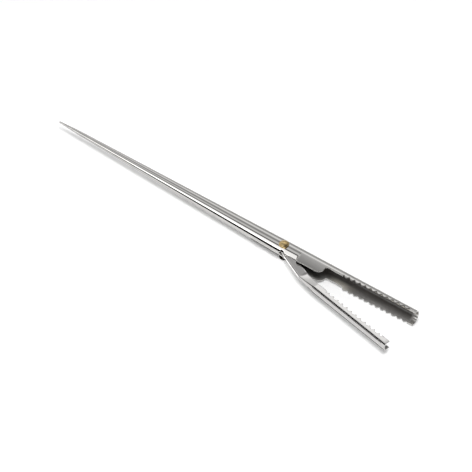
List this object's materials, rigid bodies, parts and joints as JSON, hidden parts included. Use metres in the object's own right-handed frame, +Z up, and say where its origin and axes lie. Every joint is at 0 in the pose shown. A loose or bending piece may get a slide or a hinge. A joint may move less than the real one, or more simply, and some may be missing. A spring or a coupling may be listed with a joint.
{
  "type": "larding needle",
  "caption": "Tapered steel needle with a toothed half-round jaw and a hinged toothed lever on a brass rivet, for drawing strips of fat through meat.",
  "frame": {"origin": "on the rivet's axis, in the flat underside of its clinched end, on which the needle lies", "axes": "+X along the needle from the point to the jaws, the lever opens towards -Y, +Z up along the rivet towards its domed head"},
  "size_m": [0.2, 0.0246, 0.0087],
  "materials": {
    "needle_steel": "polished stainless sheet",
    "lever_steel": "polished stainless sheet",
    "rivet_brass": "polished, slightly dulled"
  },
  "bodies": {
    "needle": {"needle_body": "needle_steel", "pivot_rivet": "rivet_brass"},
    "lever": {"clamp_lever": "lever_steel"}
  },
  "joints": [
    {"name": "lever_hinge", "type": "hinge", "parent": "needle", "child": "lever", "pos_m": [0, 0, 0.00415], "axis": [0, 0, -1], "range_deg": [-17, 24]}
  ]
}
